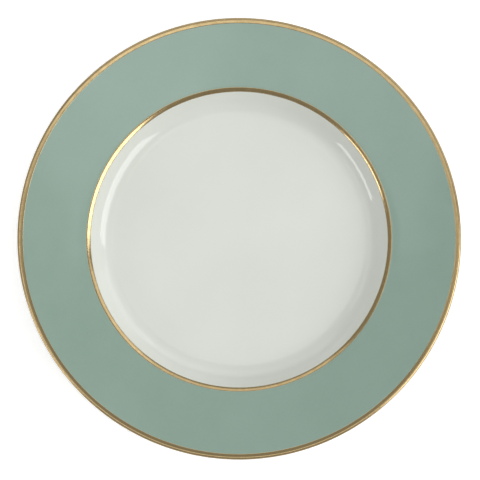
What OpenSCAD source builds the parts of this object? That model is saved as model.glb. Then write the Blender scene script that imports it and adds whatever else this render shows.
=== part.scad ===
// Rimmed dinner plate: one fired porcelain body under a clear glaze, with an enamelled
// rim and two gilded bands.
//
// Every piece is a solid of revolution about Z, and the origin is on the table, on the
// plate's axis. One walk describes the surface of the glaze. It starts in the middle of
// the well, climbs the side, crosses the shoulder and the rim, turns round the lip, and
// comes back underneath, over the foot, to the middle of the base. A stop on the walk is
// [radius, height, heading], and the plate always lies to the right of the heading.
// Each piece is a stretch of the walk with a depth below or a height above the glaze.

/* [Plate] */
// Diameter over the gilded lip
plate_d = 270; // [260:1:285]
// Thickness of the base and of the well's side, glaze included
base_t = 4; // [3.4:0.1:4.6]

/* [Well] */
// Diameter at the outside of the shoulder, where it meets the rim
verge_d = 188.8; // [187:0.2:192]
// Depth of the well, from there down to its floor
well_depth = 10.8; // [10.4:0.1:13]
// Steepest slope of the well's side
wall_angle = 45; // [41:1:50]
// Radius of the hollow curve between the floor and the side
cavetto_r = 14; // [12:1:15]
// Radius of the shoulder between the side and the rim
shoulder_r = 7.5; // [6:0.5:8.5]

/* [Rim] */
// Slope of the rim where it leaves the shoulder
rim_slope = 10; // [8:0.5:12]
// How much steeper the rim is by the time it reaches the lip
rim_lift = 2; // [1:0.5:3]
// How much steeper the rim is underneath, so that it thins towards the lip
rim_taper = 1.4; // [0.6:0.1:2]
// Radius of the rounded lip
lip_r = 1.3; // [1:0.1:1.6]
// Radius of the hollow curve under the shoulder
under_shoulder_r = 7; // [4:0.5:8]

/* [Foot ring] */
// How far the middle of the ring stands outside the edge of the well's floor
foot_set = 3; // [2.4:0.1:4]
// Width of the flat that stands on the table
foot_flat_w = 2; // [1.2:0.2:2.8]
// Radius of the two edges beside the flat
foot_edge_r = 0.8; // [0.5:0.1:1]
// Lean of the ring's sides away from upright
foot_lean = 10; // [5:1:15]
// Radius of the hollow curve where the ring joins the plate outside
foot_fillet_r = 2.5; // [1.5:0.5:3]
// Radius of the hollow curve where the ring joins the base inside
recess_fillet_r = 1.2; // [0.8:0.1:1.5]
// Height of the base above the table, inside the ring
base_recess = 3; // [2.6:0.2:4]

/* [Coats] */
// Thickness of the clear glaze
glaze_t = 0.3; // [0.2:0.05:0.4]
// Thickness of the rim's enamel
enamel_t = 0.2; // [0.15:0.05:0.3]
// Thickness of the gilding
gold_t = 0.2; // [0.15:0.05:0.3]
// Slope of the shoulder where the gilded line ends and the enamel begins
verge_line_end = 18; // [14:1:26]
// Width of the gilded line, measured over the shoulder's curve
verge_line_w = 3.4; // [1.5:0.1:3.4]
// Width of the gilded band at the lip, seen from above
lip_band_w = 3.7; // [3:0.1:6]

/* [Hidden] */

arc_step = 6;    // largest change of heading between two stops of a curve, in degrees
arc_least = 4;   // fewest steps in a curve
turn_fn = 180;   // sides of the preview's circles
line_margin = 1; // least turn of the shoulder left bare beside its gilded line, in degrees

// Unit vectors along a heading and to its left, which is out of the plate
function ahead(h) = [cos(h), sin(h)];
function out(h) = [-sin(h), cos(h)];

// Point of a stop, raised out of the glaze's surface by a height
function raised(stop, by) = [stop[0], stop[1]] + by * out(stop[2]);

// Stops round a centre. The radius is negative where the surface is hollow.
function curve(centre, radius, from, to) =
    let (steps = max(arc_least, ceil(abs(to - from) / arc_step)))
    [for (i = [0:steps]) let (h = from + (to - from) * i / steps)
        concat(centre + radius * out(h), h)];

// All stops but the first, to join a stretch to the one that ends on that stop
function onward(stops) = [for (i = [1:len(stops) - 1]) stops[i]];

// Point that lies a distance to the left of each of two lines
function meeting(point_a, heading_a, point_b, heading_b, distance) =
    let (na = out(heading_a), nb = out(heading_b),
         ca = point_a * na + distance, cb = point_b * nb + distance)
    [ca * nb[1] - cb * na[1], cb * na[0] - ca * nb[0]] / cross(na, nb);

// Well: floor, hollow curve, straight side and shoulder
floor_z = base_recess + base_t;
verge_z = floor_z + well_depth;
shoulder_centre = [verge_d / 2, verge_z] - shoulder_r * out(rim_slope);
curves_rise = cavetto_r * (1 - cos(wall_angle))
    + shoulder_r * (cos(rim_slope) - cos(wall_angle));
side_run = (well_depth - curves_rise) / tan(wall_angle);
curves_run = cavetto_r * sin(wall_angle)
    + shoulder_r * (sin(wall_angle) - sin(rim_slope));
cavetto_centre = [verge_d / 2 - side_run - curves_run, floor_z + cavetto_r];
line_turn = verge_line_w / shoulder_r * 180 / PI;
line_start = min(verge_line_end + line_turn, wall_angle - line_margin);

// Rim: a very shallow hollow curve from the shoulder to the lip
lip_slope = rim_slope + rim_lift;
rim_end_r = plate_d / 2 - gold_t - lip_r * (1 + sin(lip_slope));
rim_r = (rim_end_r - verge_d / 2) / (sin(lip_slope) - sin(rim_slope));
rim_centre = [verge_d / 2, verge_z] + rim_r * out(rim_slope);
rim_end = rim_centre - rim_r * out(lip_slope);
lip_centre = rim_end - lip_r * out(lip_slope);
band_start_r = plate_d / 2 - lip_band_w;
band_start = asin((band_start_r - rim_centre[0]) / rim_r);

// Underneath: rim and side as straight lines, with the hollow under the shoulder
under_rim = rim_slope + rim_lift / 2 + rim_taper - 180;
under_side = wall_angle - 180;
under_r = cavetto_r + base_t;
under_shoulder = meeting(
    lip_centre + lip_r * out(under_rim), under_rim,
    cavetto_centre + under_r * out(under_side), under_side, under_shoulder_r);

// Foot ring: two edges, leaning sides and the hollows at their tops
foot_outside = -90 - foot_lean;
foot_inside = foot_lean - 270;
foot_mid_r = cavetto_centre[0] + foot_set;
outer_edge = [foot_mid_r + foot_flat_w / 2, foot_edge_r];
inner_edge = [foot_mid_r - foot_flat_w / 2, foot_edge_r];
// The outer hollow's centre slides up beside the ring until the hollow touches the curve
// under the cavetto. The heading there comes from the line between the two centres.
fillet_low = outer_edge + (foot_edge_r + foot_fillet_r) * out(foot_outside);
fillet_low_off = fillet_low - cavetto_centre;
centres_apart = under_r + foot_fillet_r;
fillet_drop = fillet_low_off * ahead(foot_outside);
outer_side = fillet_drop - sqrt(
    fillet_drop ^ 2 - fillet_low_off * fillet_low_off + centres_apart ^ 2);
foot_fillet = fillet_low - outer_side * ahead(foot_outside);
foot_fillet_off = foot_fillet - cavetto_centre;
foot_top = atan2(foot_fillet_off[1], foot_fillet_off[0]) - 90;
// The inner hollow's centre slides up until the hollow touches the flat of the base
recess_low = inner_edge + (foot_edge_r + recess_fillet_r) * out(foot_inside);
inner_side = (base_recess - recess_fillet_r - recess_low[1]) / sin(foot_inside);
recess_fillet = recess_low + inner_side * ahead(foot_inside);

// The walk, one stretch for each kind of surface
well_stops = concat(
    [[0, floor_z, 0]],
    curve(cavetto_centre, -cavetto_r, 0, wall_angle),
    curve(shoulder_centre, shoulder_r, wall_angle, line_start));
line_stops = curve(shoulder_centre, shoulder_r, line_start, verge_line_end);
enamel_stops = concat(
    curve(shoulder_centre, shoulder_r, verge_line_end, rim_slope),
    onward(curve(rim_centre, -rim_r, rim_slope, band_start)));
band_stops = concat(
    curve(rim_centre, -rim_r, band_start, lip_slope),
    onward(curve(lip_centre, lip_r, lip_slope, under_rim)));
back_stops = concat(
    curve(under_shoulder, -under_shoulder_r, under_rim, under_side),
    curve(cavetto_centre, under_r, under_side, foot_top),
    onward(curve(foot_fillet, -foot_fillet_r, foot_top, foot_outside)));
bare_stops = concat(
    curve(outer_edge, foot_edge_r, foot_outside, -180),
    curve(inner_edge, foot_edge_r, -180, foot_inside));
glaze_stops = concat(
    well_stops, onward(line_stops), onward(enamel_stops), onward(band_stops),
    back_stops, [bare_stops[0]]);
recess_stops = concat(
    [bare_stops[len(bare_stops) - 1]],
    curve(recess_fillet, -recess_fillet_r, foot_inside, -180),
    [[0, base_recess, -180]]);

// Layer over a stretch of the walk, between two heights above the glaze's surface
module layer(stops, low, high) {
    rotate_extrude($fn = turn_fn)
        polygon(concat(
            [for (stop = stops) raised(stop, low)],
            [for (i = [len(stops) - 1:-1:0]) raised(stops[i], high)]));
}

// Fired clay body: floor, side, rim and foot ring in one, bare only on the ring's edge
module porcelain_body() {
    color([0.93, 0.92, 0.89])
        rotate_extrude($fn = turn_fn)
            polygon(concat(
                [for (stop = glaze_stops) raised(stop, -glaze_t)],
                [for (stop = bare_stops) raised(stop, 0)],
                [for (stop = recess_stops) raised(stop, -glaze_t)]));
}

// Clear glaze over the face, the lip and the back, down to the foot's ground edge
module glaze_coat() {
    color([0.86, 0.88, 0.86]) layer(glaze_stops, -glaze_t, 0);
}

// Clear glaze on the base, inside the foot ring
module base_glaze() {
    color([0.84, 0.86, 0.84]) layer(recess_stops, -glaze_t, 0);
}

// Green enamel from the gilded line, over the top of the shoulder and the rim, to the lip
module green_rim_enamel() {
    color([0.56, 0.66, 0.59]) layer(enamel_stops, 0, enamel_t);
}

// Gilding that wraps the lip, from the face of the rim to just underneath
module gold_rim_band() {
    color([0.76, 0.63, 0.4]) layer(band_stops, 0, gold_t);
}

// Gilded line on the shoulder, along the enamel's inner edge
module gold_verge_line() {
    color([0.78, 0.66, 0.43]) layer(line_stops, 0, gold_t);
}

porcelain_body();
glaze_coat();
base_glaze();
green_rim_enamel();
gold_rim_band();
gold_verge_line();
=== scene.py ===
import math

import bpy
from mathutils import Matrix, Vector


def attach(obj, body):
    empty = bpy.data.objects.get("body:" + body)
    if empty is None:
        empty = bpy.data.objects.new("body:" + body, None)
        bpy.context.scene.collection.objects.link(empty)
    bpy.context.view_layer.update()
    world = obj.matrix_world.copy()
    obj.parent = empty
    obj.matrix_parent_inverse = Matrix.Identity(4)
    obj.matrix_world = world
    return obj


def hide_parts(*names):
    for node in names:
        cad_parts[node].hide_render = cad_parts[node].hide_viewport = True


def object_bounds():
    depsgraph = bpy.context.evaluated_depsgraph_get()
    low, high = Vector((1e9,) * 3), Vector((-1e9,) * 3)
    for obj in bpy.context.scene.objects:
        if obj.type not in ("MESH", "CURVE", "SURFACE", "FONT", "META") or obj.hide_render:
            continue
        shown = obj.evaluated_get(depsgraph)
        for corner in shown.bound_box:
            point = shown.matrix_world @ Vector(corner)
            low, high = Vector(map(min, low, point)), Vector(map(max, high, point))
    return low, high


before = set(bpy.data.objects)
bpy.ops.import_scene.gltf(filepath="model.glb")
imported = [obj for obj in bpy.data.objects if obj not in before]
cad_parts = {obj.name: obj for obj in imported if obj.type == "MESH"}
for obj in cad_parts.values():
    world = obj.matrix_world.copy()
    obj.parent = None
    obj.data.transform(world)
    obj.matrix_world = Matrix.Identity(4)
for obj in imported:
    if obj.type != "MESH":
        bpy.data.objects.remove(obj)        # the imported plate: six nodes on one body, root
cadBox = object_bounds()     # box of the CAD model, before any piece is added
mm = 0.001


# Finished sizes in millimetres and degrees, the ones the plate is designed with
plateShape = {
    "diameter": 270.0,           # over the gilded lip
    "baseThick": 4.0,
    "shoulderAcross": 188.8,     # where the shoulder meets the rim
    "wellDepth": 10.8,
    "wallSlope": 45.0,
    "cavettoRadius": 14.0,
    "shoulderRadius": 7.5,
    "rimSlope": 10.0,
    "rimLift": 2.0,              # how much steeper the rim is at the lip
    "rimTaper": 1.4,             # how much steeper it is underneath
    "lipRadius": 1.3,
    "underShoulderRadius": 7.0,
    "footSet": 3.0,              # middle of the foot, out from the edge of the floor
    "footFlat": 2.0,
    "footEdgeRadius": 0.8,
    "footLean": 10.0,
    "footFilletRadius": 2.5,
    "recessFilletRadius": 1.2,
    "baseRecess": 3.0,
    "glazeThick": 0.3,
    "coatThick": 0.2,            # enamel and gilding
    "lineEndSlope": 18.0,        # of the shoulder, where the enamel begins
    "lineWidth": 3.4,            # gilded line, over the shoulder's curve
    "bandWidth": 3.7,            # gilded band at the lip, seen from above
}


def ahead(heading):
    return Vector((math.cos(math.radians(heading)), math.sin(math.radians(heading))))


def outOf(heading):
    # unit vector to the left of a heading, which is out of the plate
    return Vector((-math.sin(math.radians(heading)), math.cos(math.radians(heading))))


def meeting(pointA, headingA, pointB, headingB, gap):
    # the point that lies a gap to the left of each of two lines
    a, b = outOf(headingA), outOf(headingB)
    reachA, reachB = pointA.dot(a) + gap, pointB.dot(b) + gap
    cross = a.x * b.y - a.y * b.x
    return Vector((reachA * b.y - reachB * a.y, reachB * a.x - reachA * b.x)) / cross


def arcStretch(centre, radius, start, end):
    # the radius is negative where the surface is hollow
    return {"centre": centre, "radius": radius, "start": start, "end": end,
            "length": abs(radius * math.radians(end - start))}


def lineStretch(fromPoint, toPoint):
    step = toPoint - fromPoint
    return {"from": fromPoint, "heading": math.degrees(math.atan2(step.y, step.x)),
            "length": step.length}


def arcEnd(arc, which):
    return arc["centre"] + arc["radius"] * outOf(arc[which])


def layOutWalk(shape):
    # The walk follows the glaze from the middle of the well, over the lip and back under.
    # It returns the stretches in order and the distances along them of the named places.
    s = shape
    floorZ = s["baseRecess"] + s["baseThick"]
    shoulderEdge = Vector((s["shoulderAcross"] / 2, floorZ + s["wellDepth"]))
    shoulderCentre = shoulderEdge - s["shoulderRadius"] * outOf(s["rimSlope"])
    wall, rim = math.radians(s["wallSlope"]), math.radians(s["rimSlope"])
    curvesRise = (s["cavettoRadius"] * (1 - math.cos(wall))
                  + s["shoulderRadius"] * (math.cos(rim) - math.cos(wall)))
    curvesRun = (s["cavettoRadius"] * math.sin(wall)
                 + s["shoulderRadius"] * (math.sin(wall) - math.sin(rim)))
    wallRun = (s["wellDepth"] - curvesRise) / math.tan(wall)
    cavettoCentre = Vector((shoulderEdge.x - wallRun - curvesRun,
                            floorZ + s["cavettoRadius"]))
    cavetto = arcStretch(cavettoCentre, -s["cavettoRadius"], 0, s["wallSlope"])
    shoulder = arcStretch(shoulderCentre, s["shoulderRadius"], s["wallSlope"], s["rimSlope"])

    lipSlope = s["rimSlope"] + s["rimLift"]
    lipSin = math.sin(math.radians(lipSlope))
    rimEndX = s["diameter"] / 2 - s["coatThick"] - s["lipRadius"] * (1 + lipSin)
    rimRadius = (rimEndX - shoulderEdge.x) / (lipSin - math.sin(rim))
    rimCentre = shoulderEdge + rimRadius * outOf(s["rimSlope"])
    face = arcStretch(rimCentre, -rimRadius, s["rimSlope"], lipSlope)
    lipCentre = arcEnd(face, "end") - s["lipRadius"] * outOf(lipSlope)
    underRim = s["rimSlope"] + s["rimLift"] / 2 + s["rimTaper"] - 180
    lip = arcStretch(lipCentre, s["lipRadius"], lipSlope, underRim)

    underWall = s["wallSlope"] - 180
    underRadius = s["cavettoRadius"] + s["baseThick"]
    wallBack = cavettoCentre + underRadius * outOf(underWall)
    underCentre = meeting(arcEnd(lip, "end"), underRim, wallBack, underWall,
                          s["underShoulderRadius"])
    underShoulder = arcStretch(underCentre, -s["underShoulderRadius"], underRim, underWall)

    footOut, footIn = -90 - s["footLean"], s["footLean"] - 270
    footX = cavettoCentre.x + s["footSet"]
    outerEdge = Vector((footX + s["footFlat"] / 2, s["footEdgeRadius"]))
    innerEdge = Vector((footX - s["footFlat"] / 2, s["footEdgeRadius"]))
    edgeOut = arcStretch(outerEdge, s["footEdgeRadius"], footOut, -180)
    edgeIn = arcStretch(innerEdge, s["footEdgeRadius"], -180, footIn)
    # outer hollow: beside the foot, and against the curve under the cavetto
    low = outerEdge + (s["footEdgeRadius"] + s["footFilletRadius"]) * outOf(footOut)
    lowOff = low - cavettoCentre
    drop = lowOff.dot(ahead(footOut))
    apart = underRadius + s["footFilletRadius"]
    slide = drop - math.sqrt(drop ** 2 - lowOff.length_squared + apart ** 2)
    filletCentre = low - slide * ahead(footOut)
    filletOff = filletCentre - cavettoCentre
    footTop = math.degrees(math.atan2(filletOff.y, filletOff.x)) - 90
    underCavetto = arcStretch(cavettoCentre, underRadius, underWall, footTop)
    footFillet = arcStretch(filletCentre, -s["footFilletRadius"], footTop, footOut)
    # inner hollow: beside the foot, and against the flat of the base
    recessLow = innerEdge + (s["footEdgeRadius"] + s["recessFilletRadius"]) * outOf(footIn)
    rise = s["baseRecess"] - s["recessFilletRadius"] - recessLow.y
    recessCentre = recessLow + rise / math.sin(math.radians(footIn)) * ahead(footIn)
    recessFillet = arcStretch(recessCentre, -s["recessFilletRadius"], footIn, -180)

    curves = [cavetto, shoulder, face, lip, underShoulder, underCavetto, footFillet,
              edgeOut, edgeIn, recessFillet]
    stretches, corner = [], Vector((0, floorZ))
    for curve in curves:
        if (arcEnd(curve, "start") - corner).length > 1e-6:
            stretches.append(lineStretch(corner, arcEnd(curve, "start")))
        stretches.append(curve)
        corner = arcEnd(curve, "end")
    stretches.append(lineStretch(corner, Vector((0, s["baseRecess"]))))

    places, along = {}, 0.0
    names = {id(shoulder): "shoulder", id(face): "face", id(lip): "lip",
             id(edgeOut): "footOuter", id(edgeIn): "footInner"}
    for stretch in stretches:
        if id(stretch) in names:
            places[names[id(stretch)]] = (along, along + stretch["length"])
        along += stretch["length"]
    places["end"] = along
    bandHeading = math.degrees(math.asin(
        (s["diameter"] / 2 - s["bandWidth"] - rimCentre.x) / rimRadius))
    places["bandStart"] = places["face"][0] + abs(
        rimRadius * math.radians(bandHeading - s["rimSlope"]))
    places["lineEnd"] = places["shoulder"][1] - abs(
        s["shoulderRadius"] * math.radians(s["lineEndSlope"] - s["rimSlope"]))
    places["lineStart"] = places["lineEnd"] - s["lineWidth"]
    return stretches, places


def spotOnWalk(stretches, distance):
    # point and heading at a distance along the walk
    for stretch in stretches:
        if distance <= stretch["length"] or stretch is stretches[-1]:
            break
        distance -= stretch["length"]
    if "centre" in stretch:
        turn = distance / stretch["length"]
        heading = stretch["start"] + (stretch["end"] - stretch["start"]) * turn
        return stretch["centre"] + stretch["radius"] * outOf(heading), heading
    return stretch["from"] + distance * ahead(stretch["heading"]), stretch["heading"]


walkDetail = {
    "turnStep": 5.0,       # degrees of turn between two stops of a curve
    "longStep": 5.5,       # most millimetres between two stops of a curve
    "flatStep": 12.0,      # and of a straight stretch
    "edgeStops": (0.06, 0.14, 0.24, 0.38, 0.6, 0.9),   # stops beside a coat's edge
}


def stopsAlong(stretches, start, end, edgeStart=False, edgeEnd=False):
    # distances of the stops of one coat: every change of curve, the steps between them,
    # and closer ones beside an edge that tapers
    marks, along = {start, end}, 0.0
    for stretch in stretches:
        if "centre" in stretch:
            turned = abs(stretch["end"] - stretch["start"]) / walkDetail["turnStep"]
            steps = max(turned, stretch["length"] / walkDetail["longStep"], 2)
        else:
            steps = max(stretch["length"] / walkDetail["flatStep"], 1)
        steps = math.ceil(steps)
        for i in range(steps + 1):
            mark = along + stretch["length"] * i / steps
            if start < mark < end:
                marks.add(mark)
        along += stretch["length"]
    for gap in walkDetail["edgeStops"]:
        if edgeStart:
            marks.add(start + gap)
        if edgeEnd:
            marks.add(end - gap)
    ordered, kept = sorted(marks), []
    for mark in ordered:
        if not kept or mark - kept[-1] > 0.03:
            kept.append(mark)
    kept[-1] = end
    return kept


def addNode(tree, kind, inputs=None, **settings):
    # a node with its settings, and its inputs as values or as outputs to link
    node = tree.nodes.new(kind)
    for name, value in settings.items():
        setattr(node, name, value)
    for key, value in (inputs or {}).items():
        socket = node.inputs[key]
        if isinstance(value, bpy.types.NodeSocket):
            tree.links.new(value, socket)
        else:
            socket.default_value = value
    return node


def maths(tree, operation, a, b=0.0):
    return addNode(tree, "ShaderNodeMath", {0: a, 1: b}, operation=operation).outputs[0]


wheelDetail = {
    "wanderWaves": ((3.0, 0.7), (24.0, 0.3)),   # scale and share of a slow and a quick wave
    "warpScale": 9.0,
    "warpLevel": 0.7,            # which level of the noise the warp is read from
    "warpPower": 5.0,            # how sharply the warp grows towards the lip
    "mergeWithin": 2e-6,         # metres
    "sharpAbove": 38,            # degrees between two faces
}


def buildWheelTree():
    # Turns the section's points round Z: a grid with one column for each step of the turn
    # takes its rows from the section. Edges of hand-laid coats wander a little, and the
    # whole plate is very slightly warped, as ware is after firing.
    tree = bpy.data.node_groups.new("potter wheel", "GeometryNodeTree")
    sockets = tree.interface
    sockets.new_socket("Section", in_out="INPUT", socket_type="NodeSocketGeometry")
    sockets.new_socket("Steps Round", in_out="INPUT", socket_type="NodeSocketInt")
    sockets.new_socket("Edge Wander", in_out="INPUT", socket_type="NodeSocketFloat")
    sockets.new_socket("Kiln Warp", in_out="INPUT", socket_type="NodeSocketFloat")
    sockets.new_socket("Warp Reach", in_out="INPUT", socket_type="NodeSocketFloat")
    sockets.new_socket("Seed", in_out="INPUT", socket_type="NodeSocketFloat")
    sockets.new_socket("Finish", in_out="INPUT", socket_type="NodeSocketMaterial")
    sockets.new_socket("Piece", in_out="OUTPUT", socket_type="NodeSocketGeometry")
    given = tree.nodes.new("NodeGroupInput").outputs
    size = addNode(tree, "GeometryNodeAttributeDomainSize", {0: given["Section"]},
                   component="MESH")
    rows = size.outputs["Point Count"]
    grid = addNode(tree, "GeometryNodeMeshGrid", {
        "Vertices X": maths(tree, "ADD", given["Steps Round"], 1.0), "Vertices Y": rows})
    index = tree.nodes.new("GeometryNodeInputIndex").outputs[0]
    column = maths(tree, "FLOOR", maths(tree, "DIVIDE", maths(tree, "ADD", index, 0.5), rows))
    row = maths(tree, "SUBTRACT", index, maths(tree, "MULTIPLY", column, rows))
    angle = maths(tree, "MULTIPLY", maths(tree, "DIVIDE", column, given["Steps Round"]),
                  math.tau)

    def sampled(value):
        node = addNode(tree, "GeometryNodeSampleIndex", data_type="FLOAT_VECTOR",
                       domain="POINT")
        tree.links.new(given["Section"], node.inputs["Geometry"])
        tree.links.new(value, node.inputs["Value"])
        tree.links.new(row, node.inputs["Index"])
        return node.outputs["Value"]

    place = sampled(tree.nodes.new("GeometryNodeInputPosition").outputs[0])
    drift = addNode(tree, "GeometryNodeInputNamedAttribute", {"Name": "drift"},
                    data_type="FLOAT_VECTOR")
    drift = sampled(drift.outputs["Attribute"])
    side = addNode(tree, "ShaderNodeSeparateXYZ", {0: drift}).outputs["X"]
    # one slow wave and one quick one, both closed round the circle
    roundX, roundY = maths(tree, "COSINE", angle), maths(tree, "SINE", angle)
    wander = None
    for scale, share in wheelDetail["wanderWaves"]:
        spot = addNode(tree, "ShaderNodeCombineXYZ", {
            0: roundX, 1: roundY,
            2: maths(tree, "ADD", maths(tree, "SIGN", side), given["Seed"])})
        noise = addNode(tree, "ShaderNodeTexNoise", {
            "Vector": spot.outputs[0], "Scale": scale, "Detail": 1.0})
        part = maths(tree, "MULTIPLY",
                     maths(tree, "SUBTRACT", noise.outputs[0], 0.5), 2 * share)
        wander = part if wander is None else maths(tree, "ADD", wander, part)
    wander = maths(tree, "MULTIPLY", wander, given["Edge Wander"])
    shift = addNode(tree, "ShaderNodeVectorMath", {0: drift, "Scale": wander},
                    operation="SCALE")
    section = addNode(tree, "ShaderNodeVectorMath",
                      {0: place, 1: shift.outputs[0]}, operation="ADD")
    turned = addNode(tree, "ShaderNodeVectorRotate", {
        "Vector": section.outputs[0], "Angle": angle}, rotation_type="Z_AXIS")
    # the warp grows towards the lip and depends only on the place in plan
    plan = addNode(tree, "ShaderNodeSeparateXYZ", {0: turned.outputs[0]})
    flat = addNode(tree, "ShaderNodeCombineXYZ",
                   {0: plan.outputs["X"], 1: plan.outputs["Y"],
                    2: wheelDetail["warpLevel"]})
    distance = addNode(tree, "ShaderNodeVectorMath", {0: section.outputs[0]},
                       operation="LENGTH").outputs["Value"]
    far = maths(tree, "POWER", maths(tree, "DIVIDE", distance, given["Warp Reach"]),
                wheelDetail["warpPower"])
    bend = addNode(tree, "ShaderNodeTexNoise",
                   {"Vector": flat.outputs[0], "Scale": wheelDetail["warpScale"],
                    "Detail": 0.0})
    lift = maths(tree, "MULTIPLY", maths(tree, "SUBTRACT", bend.outputs[0], 0.5),
                 maths(tree, "MULTIPLY", far, given["Kiln Warp"]))
    offset = addNode(tree, "ShaderNodeCombineXYZ", {2: lift})
    put = addNode(tree, "GeometryNodeSetPosition", {
        "Geometry": grid.outputs["Mesh"], "Position": turned.outputs[0],
        "Offset": offset.outputs[0]})
    closed = addNode(tree, "GeometryNodeMergeByDistance",
                     {"Geometry": put.outputs[0],
                      "Distance": wheelDetail["mergeWithin"]})
    smooth = addNode(tree, "GeometryNodeSetShadeSmooth", {"Geometry": closed.outputs[0]})
    real = addNode(tree, "GeometryNodeRealizeInstances", {"Geometry": smooth.outputs[0]})
    finished = addNode(tree, "GeometryNodeSetMaterial",
                       {"Geometry": real.outputs[0], "Material": given["Finish"]})
    out = tree.nodes.new("NodeGroupOutput")
    tree.links.new(finished.outputs[0], out.inputs["Piece"])
    return tree


def turnPiece(name, outline, closed, finish, wheel):
    # outline: (point in millimetres, drift along the surface) for each stop of the section
    if closed:
        outline = outline + outline[:1]
    verts = [(point.x * mm, 0.0, point.y * mm) for point, drift in outline]
    section = bpy.data.meshes.new(name + "Section")
    section.from_pydata(verts, [(i, i + 1) for i in range(len(verts) - 1)], [])
    drifts = section.attributes.new("drift", "FLOAT_VECTOR", "POINT")
    drifts.data.foreach_set(
        "vector", [c for point, drift in outline for c in (drift.x, 0.0, drift.y)])
    blank = bpy.data.objects.new(name + "Blank", section)
    bpy.context.scene.collection.objects.link(blank)
    lathe = blank.modifiers.new("potter wheel", "NODES")
    lathe.node_group = wheelTree
    ids = {item.name: item.identifier for item in wheelTree.interface.items_tree
           if item.in_out == "INPUT"}
    for label, value in wheel.items():
        lathe[ids[label]] = value
    lathe[ids["Finish"]] = finish
    bpy.context.view_layer.update()
    evaluated = blank.evaluated_get(bpy.context.evaluated_depsgraph_get())
    mesh = bpy.data.meshes.new_from_object(evaluated)
    mesh.name = name
    bpy.data.objects.remove(blank)
    mesh.set_sharp_from_angle(angle=math.radians(wheelDetail["sharpAbove"]))
    piece = bpy.data.objects.new(name, mesh)
    bpy.context.scene.collection.objects.link(piece)
    print(f"{name}: {len(mesh.vertices)} points, {len(mesh.polygons)} faces")
    return piece


wheelSettings = {
    "Steps Round": 256,
    "Edge Wander": 0.0,
    "Kiln Warp": 0.0005,         # metres, between the highest and the lowest of the lip
    "Warp Reach": plateShape["diameter"] / 2 * mm,
    "Seed": 4.0,
}


def skinOutline(stretches, start, end, low, high, toAxis):
    # a coat of even thickness; a coat that starts and ends on the axis needs no closing
    stops = stopsAlong(stretches, start, end)
    spots = [spotOnWalk(stretches, stop) for stop in stops]
    still = Vector((0, 0))
    under = [(point + low * outOf(heading), still) for point, heading in spots]
    over = [(point + high * outOf(heading), still) for point, heading in spots]
    return list(reversed(under)) + over if toAxis else over + list(reversed(under))


# Coats laid by hand, in millimetres
handWork = {
    "enamelStands": 0.5,         # share of the coat's thickness that it stands proud
    "enamelTaper": 0.6,          # run over which it thins down to its edge
    "enamelLap": 0.7,            # how far it runs under both bands of gold
    "goldStands": 0.7,
    "goldTaper": 0.5,
    "sink": 0.05,                # how deep a coat's underside lies in the coat below
    "edgeSink": 0.6,             # share of that at the very edge
    "wander": 0.12,              # how far an edge strays from its line
    "wanderFade": 1.2,           # distance from the edge over which that dies out
    "lineSeed": 11.0,
    "bandSeed": 23.0,
}


def bandOutline(stretches, start, end, height, taper):
    # a hand-laid coat: full height in the middle, rounded down to nothing at its edges
    sink = handWork["sink"]
    edge = handWork["edgeSink"] * sink
    stops = stopsAlong(stretches, start, end, True, True)
    over, under = [], []
    for stop in stops:
        point, heading = spotOnWalk(stretches, stop)
        nearStart, nearEnd = stop - start, end - stop
        near = min(nearStart, nearEnd)
        rise = math.sin(min(near / taper, 1) * math.pi / 2)
        top = -edge + (height + edge) * rise
        fade = max(0.0, 1 - near / handWork["wanderFade"])
        side = 1 if nearEnd < nearStart else -1
        drift = ahead(heading) * fade * side
        over.append((point + top * outOf(heading), drift))
        under.append((point - sink * outOf(heading), drift))
    return over + list(reversed(under))


def newFinish(name):
    finish = bpy.data.materials.new(name)
    finish.use_nodes = True
    tree = finish.node_tree
    return finish, tree, tree.nodes["Principled BSDF"]


def grain(tree, scale, detail=2.0, rough=0.5, vector=None, distortion=0.0):
    node = addNode(tree, "ShaderNodeTexNoise", {
        "Scale": scale, "Detail": detail, "Roughness": rough, "Distortion": distortion})
    if vector is None:
        vector = addNode(tree, "ShaderNodeTexCoord").outputs["Object"]
    tree.links.new(vector, node.inputs["Vector"])
    return node.outputs[0]


def spread(tree, value, fromLow, fromHigh, toLow, toHigh):
    node = addNode(tree, "ShaderNodeMapRange", {
        "Value": value, "From Min": fromLow, "From Max": fromHigh,
        "To Min": toLow, "To Max": toHigh})
    return node.outputs[0]


def mixTint(tree, share, a, b):
    node = addNode(tree, "ShaderNodeMix", data_type="RGBA")
    for socket, value in ((node.inputs[0], share), (node.inputs[6], a), (node.inputs[7], b)):
        if isinstance(value, bpy.types.NodeSocket):
            tree.links.new(value, socket)
        else:
            socket.default_value = value
    return node.outputs[2]


def relief(tree, height, distance, normal=None):
    # distance in metres, over a height from 0 to 1
    inputs = {"Height": height, "Distance": distance, "Strength": 1.0}
    if normal is not None:
        inputs["Normal"] = normal
    return addNode(tree, "ShaderNodeBump", inputs).outputs[0]


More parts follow.
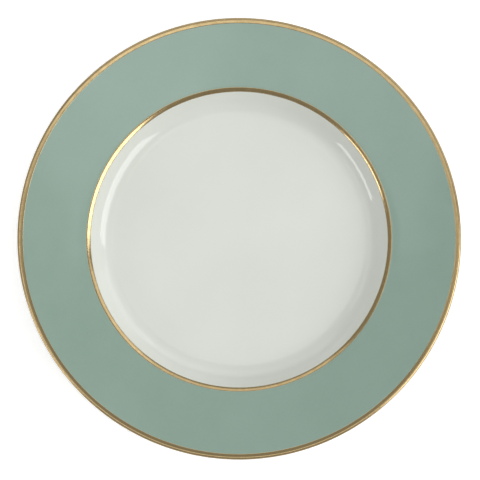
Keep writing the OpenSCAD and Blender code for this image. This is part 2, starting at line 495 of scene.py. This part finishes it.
def wheelCoordinates(tree, roundScale, acrossScale):
    # coordinates that follow a turned piece: two close round the circle, one runs across
    # it, so that a pattern can be drawn out along the circle
    here = addNode(tree, "ShaderNodeTexCoord").outputs["Object"]
    parts = addNode(tree, "ShaderNodeSeparateXYZ", {0: here})
    flat = addNode(tree, "ShaderNodeCombineXYZ",
                   {0: parts.outputs["X"], 1: parts.outputs["Y"]})
    radius = addNode(tree, "ShaderNodeVectorMath", {0: flat.outputs[0]},
                     operation="LENGTH").outputs["Value"]
    unit = addNode(tree, "ShaderNodeVectorMath", {0: flat.outputs[0]},
                   operation="NORMALIZE").outputs[0]
    circle = addNode(tree, "ShaderNodeSeparateXYZ", {0: unit})
    across = maths(tree, "SUBTRACT", radius, parts.outputs["Z"])
    return addNode(tree, "ShaderNodeCombineXYZ", {
        0: maths(tree, "MULTIPLY", circle.outputs["X"], roundScale),
        1: maths(tree, "MULTIPLY", circle.outputs["Y"], roundScale),
        2: maths(tree, "MULTIPLY", across, acrossScale)}).outputs[0]


glazeLook = {
    "white": (0.745, 0.773, 0.716, 1),
    "drift": (0.72, 0.743, 0.681, 1),    # where the glaze lies a little thicker
    "speck": (0.34, 0.29, 0.22, 1),
    "speckRarity": 0.93,                 # share of the cells that hold no speck
    "roughness": 0.045,
    "ripple": 0.00003,                   # metres, over some 40 mm
    "orangePeel": 0.0000018,             # over some 3 mm
}


def makeGlaze():
    finish, tree, skin = newFinish("clearGlazeOnPorcelain")
    cloud = spread(tree, grain(tree, 14.0, 3.0), 0.35, 0.65, 0.0, 1.0)
    tint = mixTint(tree, cloud, glazeLook["white"], glazeLook["drift"])
    # a few pin-sized specks of iron, far apart
    dots = addNode(tree, "ShaderNodeTexVoronoi", {"Scale": 55.0})
    tree.links.new(addNode(tree, "ShaderNodeTexCoord").outputs["Object"],
                   dots.inputs["Vector"])
    rare = maths(tree, "GREATER_THAN",
                 addNode(tree, "ShaderNodeSeparateColor",
                         {0: dots.outputs["Color"]}).outputs[0],
                 glazeLook["speckRarity"])
    speck = maths(tree, "MULTIPLY", rare,
                  spread(tree, dots.outputs["Distance"], 0.008, 0.016, 0.35, 0.0))
    tint = mixTint(tree, speck, tint, glazeLook["speck"])
    tree.links.new(tint, skin.inputs["Base Color"])
    tree.links.new(spread(tree, grain(tree, 60.0, 4.0), 0.3, 0.7,
                          glazeLook["roughness"] * 0.7, glazeLook["roughness"] * 1.5),
                   skin.inputs["Roughness"])
    ripple = relief(tree, grain(tree, 22.0, 1.0), glazeLook["ripple"])
    peel = relief(tree, grain(tree, 330.0, 1.0), glazeLook["orangePeel"], ripple)
    tree.links.new(peel, skin.inputs["Normal"])
    skin.inputs["IOR"].default_value = 1.5
    return finish


enamelLook = {
    "green": (0.264, 0.378, 0.311, 1),
    "paler": (0.293, 0.409, 0.342, 1),
    "roughness": 0.09,
    "ripple": 0.00003,
    "grain": 0.0000025,
}


def makeEnamel():
    finish, tree, skin = newFinish("celadonEnamel")
    cloud = spread(tree, grain(tree, 30.0, 5.0, 0.6), 0.3, 0.7, 0.0, 1.0)
    dust = spread(tree, grain(tree, 900.0, 2.0, 0.7), 0.3, 0.7, 0.0, 1.0)
    share = maths(tree, "ADD", maths(tree, "MULTIPLY", cloud, 0.7),
                  maths(tree, "MULTIPLY", dust, 0.3))
    tint = mixTint(tree, share, enamelLook["green"], enamelLook["paler"])
    tree.links.new(tint, skin.inputs["Base Color"])
    tree.links.new(spread(tree, grain(tree, 120.0, 4.0), 0.3, 0.7,
                          enamelLook["roughness"] * 0.7, enamelLook["roughness"] * 1.5),
                   skin.inputs["Roughness"])
    ripple = relief(tree, grain(tree, 20.0, 1.5), enamelLook["ripple"])
    fine = relief(tree, grain(tree, 700.0, 2.0), enamelLook["grain"], ripple)
    tree.links.new(fine, skin.inputs["Normal"])
    skin.inputs["IOR"].default_value = 1.52
    return finish


goldLook = {
    "gold": (0.54, 0.41, 0.215, 1),
    "thin": (0.43, 0.315, 0.15, 1),      # where the brush left it thinner
    "roughness": 0.18,
    "streakShare": 0.45,                 # of the tint, and the rest goes to patches
    "brush": 0.000006,                   # metres, depth of the brush marks
}


def makeGold():
    finish, tree, skin = newFinish("burnishedGold")
    streaks = grain(tree, 1.0, 4.0, 0.65, wheelCoordinates(tree, 9.0, 3800.0))
    patches = grain(tree, 1.0, 3.0, 0.6, wheelCoordinates(tree, 26.0, 500.0))
    streaked = maths(tree, "MULTIPLY", spread(tree, streaks, 0.3, 0.7, 0.0, 1.0),
                     goldLook["streakShare"])
    patched = maths(tree, "MULTIPLY", spread(tree, patches, 0.35, 0.75, 0.0, 1.0),
                    1 - goldLook["streakShare"])
    share = maths(tree, "ADD", streaked, patched)
    tint = mixTint(tree, share, goldLook["gold"], goldLook["thin"])
    tree.links.new(tint, skin.inputs["Base Color"])
    tree.links.new(spread(tree, share, 0.1, 0.9, goldLook["roughness"] * 0.75,
                          goldLook["roughness"] * 1.6), skin.inputs["Roughness"])
    brushed = relief(tree, streaks, goldLook["brush"])
    tree.links.new(brushed, skin.inputs["Normal"])
    skin.inputs["Metallic"].default_value = 1.0
    return finish


bareLook = {
    "clay": (0.78, 0.74, 0.66, 1),
    "rubbed": (0.55, 0.52, 0.47, 1),     # grey from tables and from other plates
    "grit": 0.00003,
}


def makeBarePorcelain():
    finish, tree, skin = newFinish("groundPorcelain")
    rings = grain(tree, 1.0, 3.0, 0.6, wheelCoordinates(tree, 14.0, 2600.0))
    wear = spread(tree, grain(tree, 70.0, 5.0, 0.65), 0.48, 0.7, 0.0, 0.7)
    tint = mixTint(tree, wear, bareLook["clay"], bareLook["rubbed"])
    tree.links.new(tint, skin.inputs["Base Color"])
    tree.links.new(spread(tree, wear, 0.0, 0.7, 0.82, 0.6), skin.inputs["Roughness"])
    ground = relief(tree, rings, bareLook["grit"])
    gritty = relief(tree, grain(tree, 1600.0, 2.0), bareLook["grit"] * 0.5, ground)
    tree.links.new(gritty, skin.inputs["Normal"])
    return finish


def joinPiece(piece, node):
    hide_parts(node)
    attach(piece, "root")


def makePorcelainBody(stretches, places, finish):
    # glazed surfaces lie under the glaze, and the foot's edge is bare and flush with it
    glaze = plateShape["glazeThick"]
    footStart, footEnd = places["footOuter"][0], places["footInner"][1]
    outline, still = [], Vector((0, 0))
    for start, end, depth in ((0, footStart, glaze), (footStart, footEnd, 0),
                              (footEnd, places["end"], glaze)):
        for stop in stopsAlong(stretches, start, end):
            point, heading = spotOnWalk(stretches, stop)
            outline.append((point - depth * outOf(heading), still))
    return turnPiece("porcelainBody", outline, False, finish, wheelSettings)


def makeCoats(stretches, places, glaze, enamel, gold):
    thick, coat = plateShape["glazeThick"], plateShape["coatThick"]
    footStart, footEnd = places["footOuter"][0], places["footInner"][1]
    made = {}
    # the glaze starts on the axis and ends on the foot: down the outside, back inside it
    made["glaze_coat"] = turnPiece(
        "glazeCoat", skinOutline(stretches, 0, footStart, -thick, 0, False),
        False, glaze, wheelSettings)
    made["base_glaze"] = turnPiece(
        "baseGlaze", skinOutline(stretches, footEnd, places["end"], -thick, 0, True),
        False, glaze, wheelSettings)
    # the enamel runs a little way under both bands of gold
    lap = handWork["enamelLap"]
    enamelHeight = coat * handWork["enamelStands"]
    goldHeight, goldTaper = coat * handWork["goldStands"], handWork["goldTaper"]
    wandering = dict(wheelSettings, **{"Edge Wander": handWork["wander"] * mm})
    made["green_rim_enamel"] = turnPiece(
        "greenRimEnamel",
        bandOutline(stretches, places["lineEnd"] - lap, places["bandStart"] + lap,
                    enamelHeight, handWork["enamelTaper"]), True, enamel, wandering)
    made["gold_verge_line"] = turnPiece(
        "goldVergeLine",
        bandOutline(stretches, places["lineStart"], places["lineEnd"], goldHeight, goldTaper),
        True, gold, dict(wandering, Seed=handWork["lineSeed"]))
    made["gold_rim_band"] = turnPiece(
        "goldRimBand",
        bandOutline(stretches, places["bandStart"], places["lip"][1], goldHeight, goldTaper),
        True, gold, dict(wandering, Seed=handWork["bandSeed"]))
    return made


studio = {
    "floor": (0.93, 0.93, 0.925, 1),
    "floorMottle": (0.9, 0.9, 0.9, 1),
    "floorGlow": 0.46,           # keeps the floor white right up to the plate
    "glowLights": 0.05,          # share of that glow that lights the plate
    "floorSide": 20.0,
    "surroundBack": 0.38,        # brightness of the room behind the plate
    "surroundFront": 0.37,       # and on the camera's side
    "frontTurn": -0.8,           # direction's Y where the front's brightness is reached
    "backTurn": 0.2,             # and the back's
    "surroundSeen": 0.97,        # what the camera sees of it past the floor
}

# Each light: direction round the plate from +X and height above the floor, then half its
# width and half its height, all as angles seen from the plate, and how bright its face is
lightDistance = 6.0
lights = {
    "keySoftbox": (-19, 28.5, 23.5, 16.5, 3.5),
    "keyWing": (36, 25, 17, 15, 1.0),
    "sideSoftbox": (206, 17, 14, 7.5, 3.9),
    "sideTop": (180, 58, 22, 9, 0.9),
    "overhead": (272, 84, 18.5, 14, 0.95),
    "overheadInner": (306, 74, 8, 5, 0.4),
    "backFill": (90, 36, 33, 15, 0.75),
}


def makeFloor():
    side = studio["floorSide"] / 2
    mesh = bpy.data.meshes.new("studioFloor")
    mesh.from_pydata([(-side, -side, 0), (side, -side, 0), (side, side, 0),
                      (-side, side, 0)], [], [(0, 1, 2, 3)])
    floor = bpy.data.objects.new("studioFloor", mesh)
    floor.location.z = cadBox[0].z
    bpy.context.scene.collection.objects.link(floor)
    finish, tree, skin = newFinish("paleFloor")
    tree.links.new(mixTint(tree, grain(tree, 3.0, 2.0), studio["floor"],
                           studio["floorMottle"]), skin.inputs["Base Color"])
    skin.inputs["Roughness"].default_value = 0.8
    skin.inputs["Emission Color"].default_value = (1, 1, 1, 1)
    seen = tree.nodes.new("ShaderNodeLightPath").outputs["Is Camera Ray"]
    tree.links.new(spread(tree, seen, 0.0, 1.0,
                          studio["floorGlow"] * studio["glowLights"],
                          studio["floorGlow"]), skin.inputs["Emission Strength"])
    mesh.materials.append(finish)


def makeLights():
    for name, (around, height, halfWide, halfTall, brightness) in lights.items():
        lamp = bpy.data.lights.new(name, "AREA")
        lamp.shape = "RECTANGLE"
        lamp.size = 2 * lightDistance * math.tan(math.radians(halfWide))
        lamp.size_y = 2 * lightDistance * math.tan(math.radians(halfTall))
        lamp.energy = brightness * math.pi * lamp.size * lamp.size_y
        holder = bpy.data.objects.new(name, lamp)
        turn, rise = math.radians(around), math.radians(height)
        way = Vector((math.cos(turn) * math.cos(rise), math.sin(turn) * math.cos(rise),
                      math.sin(rise)))
        holder.location = way * lightDistance
        holder.rotation_mode = "QUATERNION"
        holder.rotation_quaternion = way.to_track_quat("Z", "Y")
        bpy.context.scene.collection.objects.link(holder)
    world = bpy.data.worlds.new("studio")
    bpy.context.scene.world = world
    world.use_nodes = True
    tree = world.node_tree
    direction = addNode(tree, "ShaderNodeTexCoord").outputs["Generated"]
    backward = addNode(tree, "ShaderNodeSeparateXYZ", {0: direction}).outputs["Y"]
    glow = spread(tree, backward, studio["frontTurn"], studio["backTurn"],
                  studio["surroundFront"], studio["surroundBack"])
    seen = addNode(tree, "ShaderNodeLightPath").outputs["Is Camera Ray"]
    shown = maths(tree, "MULTIPLY", seen, studio["surroundSeen"])
    shaded = maths(tree, "MULTIPLY", maths(tree, "SUBTRACT", 1.0, seen), glow)
    background = tree.nodes["Background"]
    background.inputs["Color"].default_value = (1, 1, 1, 1)
    tree.links.new(maths(tree, "ADD", shown, shaded), background.inputs["Strength"])
    bpy.context.scene.view_settings.view_transform = "Standard"


camera = {
    "lens": 400.0,
    "elevation": 84.6,           # almost straight above, from the front
    "sensor": 36.0,              # millimetres, as the lens
    "viewWidth": 0.2917,         # metres across the view at the lip's height
    "aimRight": 0.00047,
    "aimUp": -0.0014,
}


def makeCamera():
    # far enough back along its own tilt for the view to be as wide as given at the lip
    eye = bpy.data.cameras.new("camera")
    eye.lens, eye.sensor_width = camera["lens"], camera["sensor"]
    eye.clip_end = 100.0
    distance = camera["viewWidth"] * camera["lens"] / eye.sensor_width
    rise = math.radians(camera["elevation"])
    back = Vector((0, -math.cos(rise), math.sin(rise)))
    up = Vector((0, math.sin(rise), math.cos(rise)))
    middle = (cadBox[0] + cadBox[1]) / 2
    aim = Vector((middle.x, middle.y, cadBox[1].z))
    aim += Vector((camera["aimRight"], 0, 0)) + up * camera["aimUp"]
    holder = bpy.data.objects.new("camera", eye)
    holder.location = aim + back * distance
    holder.rotation_mode = "QUATERNION"
    holder.rotation_quaternion = back.to_track_quat("Z", "Y")
    bpy.context.scene.collection.objects.link(holder)
    bpy.context.scene.camera = holder


print("laying out the section")
stretches, places = layOutWalk(plateShape)
wheelTree = buildWheelTree()
print("finishes")
glazeFinish, enamelFinish = makeGlaze(), makeEnamel()
goldFinish, bareFinish = makeGold(), makeBarePorcelain()
print("turning the pieces")
bodyPiece = makePorcelainBody(stretches, places, bareFinish)
joinPiece(bodyPiece, "porcelain_body")
for node, piece in makeCoats(stretches, places, glazeFinish, enamelFinish,
                             goldFinish).items():
    joinPiece(piece, node)
print("studio")
makeFloor()
makeLights()
makeCamera()
